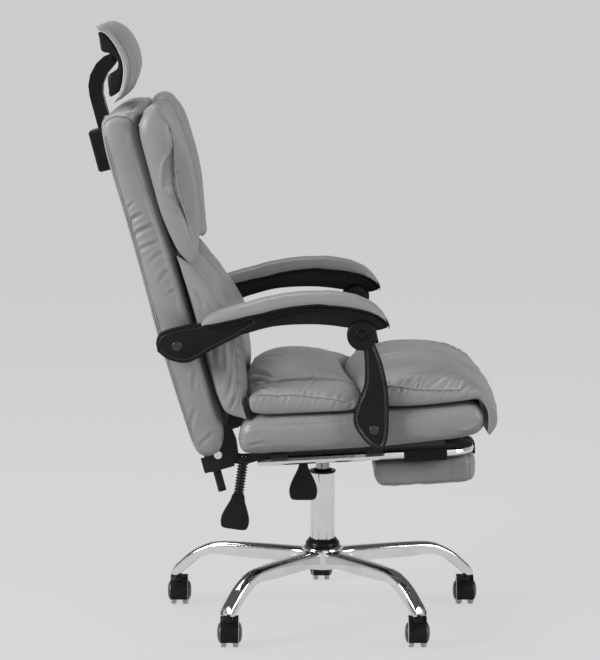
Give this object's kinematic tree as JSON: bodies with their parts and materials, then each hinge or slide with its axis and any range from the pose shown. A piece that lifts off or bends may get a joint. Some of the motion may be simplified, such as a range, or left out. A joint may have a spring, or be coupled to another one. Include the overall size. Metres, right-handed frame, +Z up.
{
  "type": "executive office chair",
  "caption": "Padded swivel office chair with gas lift, reclining back, linked armrests, tilting headrest, slide-out footrest and a star base on twin-wheel casters.",
  "frame": {"origin": "on the floor, under the middle of the box round the whole chair", "axes": "+Z up, the chair faces +X, its right-hand side is at -Y"},
  "size_m": [0.828, 0.6806, 1.2311],
  "materials": {
    "chrome": "polished chrome plate",
    "piston": "ground steel rod",
    "black_steel": "black powder coat, semi-matt",
    "black_plastic": "moulded black plastic with a fine texture",
    "shell_plastic": "moulded dark grey plastic",
    "sleeve_rubber": "ribbed black rubber",
    "leather": "grey leather with a soft sheen and fine grain",
    "plywood": "bare plywood",
    "wheel_tread": "white polyurethane tread"
  },
  "bodies": {
    "base": {"base_star": "chrome", "column_tube": "chrome", "column_collar": "black_plastic", "column_bush": "black_plastic"},
    "lift": {"gas_piston": "piston"},
    "seat": {"seat_frame": "black_steel", "seat_board": "plywood", "seat_cushion": "leather", "seat_pad_rear": "leather", "seat_pad_front": "leather", "footrest_guide_right": "black_plastic", "footrest_guide_left": "black_plastic", "link_bolt_right": "chrome", "link_bolt_left": "chrome"},
    "back": {"back_frame": "black_steel", "recline_shaft": "chrome", "back_cushion": "leather", "upper_pillow": "leather", "lumbar_pillow": "leather", "headrest_mount": "black_plastic", "arm_rear_bolt_right": "chrome", "arm_rear_bolt_left": "chrome"},
    "headrest_bar": {"headrest_slider": "black_plastic", "headrest_arm": "black_plastic"},
    "headrest": {"headrest_shell": "shell_plastic", "headrest_pad": "leather"},
    "arm_right": {"arm_frame_right": "black_plastic", "arm_pad_right": "leather"},
    "arm_left": {"arm_frame_left": "black_plastic", "arm_pad_left": "leather"},
    "link_right": {"arm_link_right": "black_plastic"},
    "link_left": {"arm_link_left": "black_plastic"},
    "footrest": {"footrest_tube": "chrome"},
    "footrest_flap": {"footrest_board": "shell_plastic", "footrest_pad": "leather"},
    "lift_lever": {"lift_lever": "black_steel", "lift_paddle": "black_plastic"},
    "recline_lever": {"recline_lever": "black_steel", "recline_sleeve": "sleeve_rubber", "recline_paddle": "black_plastic"},
    "caster_1": {"caster_1_housing": "black_plastic", "caster_1_axle": "chrome"},
    "caster_1_wheel_a": {"caster_1_wheel_a": "wheel_tread"},
    "caster_1_wheel_b": {"caster_1_wheel_b": "wheel_tread"},
    "caster_2": {"caster_2_housing": "black_plastic", "caster_2_axle": "chrome"},
    "caster_2_wheel_a": {"caster_2_wheel_a": "wheel_tread"},
    "caster_2_wheel_b": {"caster_2_wheel_b": "wheel_tread"},
    "caster_3": {"caster_3_housing": "black_plastic", "caster_3_axle": "chrome"},
    "caster_3_wheel_a": {"caster_3_wheel_a": "wheel_tread"},
    "caster_3_wheel_b": {"caster_3_wheel_b": "wheel_tread"},
    "caster_4": {"caster_4_housing": "black_plastic", "caster_4_axle": "chrome"},
    "caster_4_wheel_a": {"caster_4_wheel_a": "wheel_tread"},
    "caster_4_wheel_b": {"caster_4_wheel_b": "wheel_tread"},
    "caster_5": {"caster_5_housing": "black_plastic", "caster_5_axle": "chrome"},
    "caster_5_wheel_a": {"caster_5_wheel_a": "wheel_tread"},
    "caster_5_wheel_b": {"caster_5_wheel_b": "wheel_tread"}
  },
  "joints": [
    {"name": "lift_slide", "type": "slide", "parent": "base", "child": "lift", "axis": [0, 0, 1], "range_m": [-0.015, 0.085]},
    {"name": "seat_swivel", "type": "hinge", "parent": "lift", "child": "seat", "pos_m": [0.05685, -0.02324, 0.36], "axis": [0, 0, 1], "continuous": true},
    {"name": "back_recline", "type": "hinge", "parent": "seat", "child": "back", "pos_m": [-0.15097, -0.02324, 0.38311], "axis": [0, -1, 0], "range_deg": [0, 45]},
    {"name": "arm_right_pivot", "type": "hinge", "parent": "back", "child": "arm_right", "pos_m": [-0.22638, -0.02324, 0.61145], "axis": [0, -1, 0], "range_deg": [-40.7, 0]},
    {"name": "arm_left_pivot", "type": "hinge", "parent": "back", "child": "arm_left", "pos_m": [-0.22638, -0.02324, 0.61145], "axis": [0, -1, 0], "range_deg": [-40.7, 0]},
    {"name": "link_right_pivot", "type": "hinge", "parent": "seat", "child": "link_right", "pos_m": [0.15431, -0.02324, 0.44317], "axis": [0, -1, 0], "range_deg": [0, 53]},
    {"name": "link_left_pivot", "type": "hinge", "parent": "seat", "child": "link_left", "pos_m": [0.15431, -0.02324, 0.44317], "axis": [0, -1, 0], "range_deg": [0, 53]},
    {"name": "headrest_slide", "type": "slide", "parent": "back", "child": "headrest_bar", "axis": [-0.2538, 0, 0.9673], "range_m": [0, 0.05]},
    {"name": "headrest_tilt", "type": "hinge", "parent": "headrest_bar", "child": "headrest", "pos_m": [-0.36675, -0.02324, 1.15047], "axis": [0, -1, 0], "range_deg": [-6, 30]},
    {"name": "footrest_slide", "type": "slide", "parent": "seat", "child": "footrest", "axis": [0.9986, 0, 0.0523], "range_m": [0, 0.3]},
    {"name": "footrest_flip", "type": "hinge", "parent": "footrest", "child": "footrest_flap", "pos_m": [0.34758, -0.02324, 0.38571], "axis": [0, -1, 0], "range_deg": [0, 180]},
    {"name": "lift_lever_pull", "type": "hinge", "parent": "seat", "child": "lift_lever", "pos_m": [0.01288, -0.09824, 0.35214], "axis": [-1, 0, 0], "range_deg": [0, 8], "stiffness_Nm_per_rad": 8},
    {"name": "recline_lever_pull", "type": "hinge", "parent": "seat", "child": "recline_lever", "pos_m": [-0.10057, -0.02324, 0.37694], "axis": [0, -1, 0], "range_deg": [0, 25], "stiffness_Nm_per_rad": 2},
    {"name": "caster_1_swivel", "type": "hinge", "parent": "base", "child": "caster_1", "pos_m": [0.05685, 0.29276, 0.07], "axis": [0, 0, 1], "continuous": true},
    {"name": "caster_1_wheel_a_spin", "type": "hinge", "parent": "caster_1", "child": "caster_1_wheel_a", "pos_m": [0.05685, 0.31126, 0.029], "axis": [1, 0, 0], "continuous": true},
    {"name": "caster_1_wheel_b_spin", "type": "hinge", "parent": "caster_1", "child": "caster_1_wheel_b", "pos_m": [0.05685, 0.31126, 0.029], "axis": [1, 0, 0], "continuous": true},
    {"name": "caster_2_swivel", "type": "hinge", "parent": "base", "child": "caster_2", "pos_m": [-0.24368, 0.07441, 0.07], "axis": [0, 0, 1], "continuous": true},
    {"name": "caster_2_wheel_a_spin", "type": "hinge", "parent": "caster_2", "child": "caster_2_wheel_a", "pos_m": [-0.24368, 0.09291, 0.029], "axis": [1, 0, 0], "continuous": true},
    {"name": "caster_2_wheel_b_spin", "type": "hinge", "parent": "caster_2", "child": "caster_2_wheel_b", "pos_m": [-0.24368, 0.09291, 0.029], "axis": [1, 0, 0], "continuous": true},
    {"name": "caster_3_swivel", "type": "hinge", "parent": "base", "child": "caster_3", "pos_m": [-0.12889, -0.27889, 0.07], "axis": [0, 0, 1], "continuous": true},
    {"name": "caster_3_wheel_a_spin", "type": "hinge", "parent": "caster_3", "child": "caster_3_wheel_a", "pos_m": [-0.12889, -0.26039, 0.029], "axis": [1, 0, 0], "continuous": true},
    {"name": "caster_3_wheel_b_spin", "type": "hinge", "parent": "caster_3", "child": "caster_3_wheel_b", "pos_m": [-0.12889, -0.26039, 0.029], "axis": [1, 0, 0], "continuous": true},
    {"name": "caster_4_swivel", "type": "hinge", "parent": "base", "child": "caster_4", "pos_m": [0.24259, -0.27889, 0.07], "axis": [0, 0, 1], "continuous": true},
    {"name": "caster_4_wheel_a_spin", "type": "hinge", "parent": "caster_4", "child": "caster_4_wheel_a", "pos_m": [0.24259, -0.26039, 0.029], "axis": [1, 0, 0], "continuous": true},
    {"name": "caster_4_wheel_b_spin", "type": "hinge", "parent": "caster_4", "child": "caster_4_wheel_b", "pos_m": [0.24259, -0.26039, 0.029], "axis": [1, 0, 0], "continuous": true},
    {"name": "caster_5_swivel", "type": "hinge", "parent": "base", "child": "caster_5", "pos_m": [0.35739, 0.07441, 0.07], "axis": [0, 0, 1], "continuous": true},
    {"name": "caster_5_wheel_a_spin", "type": "hinge", "parent": "caster_5", "child": "caster_5_wheel_a", "pos_m": [0.35739, 0.09291, 0.029], "axis": [1, 0, 0], "continuous": true},
    {"name": "caster_5_wheel_b_spin", "type": "hinge", "parent": "caster_5", "child": "caster_5_wheel_b", "pos_m": [0.35739, 0.09291, 0.029], "axis": [1, 0, 0], "continuous": true}
  ],
  "couplings": [
    {"joint": "arm_right_pivot", "follows": "back_recline", "ratio": -0.902},
    {"joint": "arm_left_pivot", "follows": "back_recline", "ratio": -0.902},
    {"joint": "link_right_pivot", "follows": "back_recline", "ratio": 1.176},
    {"joint": "link_left_pivot", "follows": "back_recline", "ratio": 1.176},
    {"joint": "footrest_flip", "follows": "footrest_slide", "rad_per_m": 10.472}
  ]
}
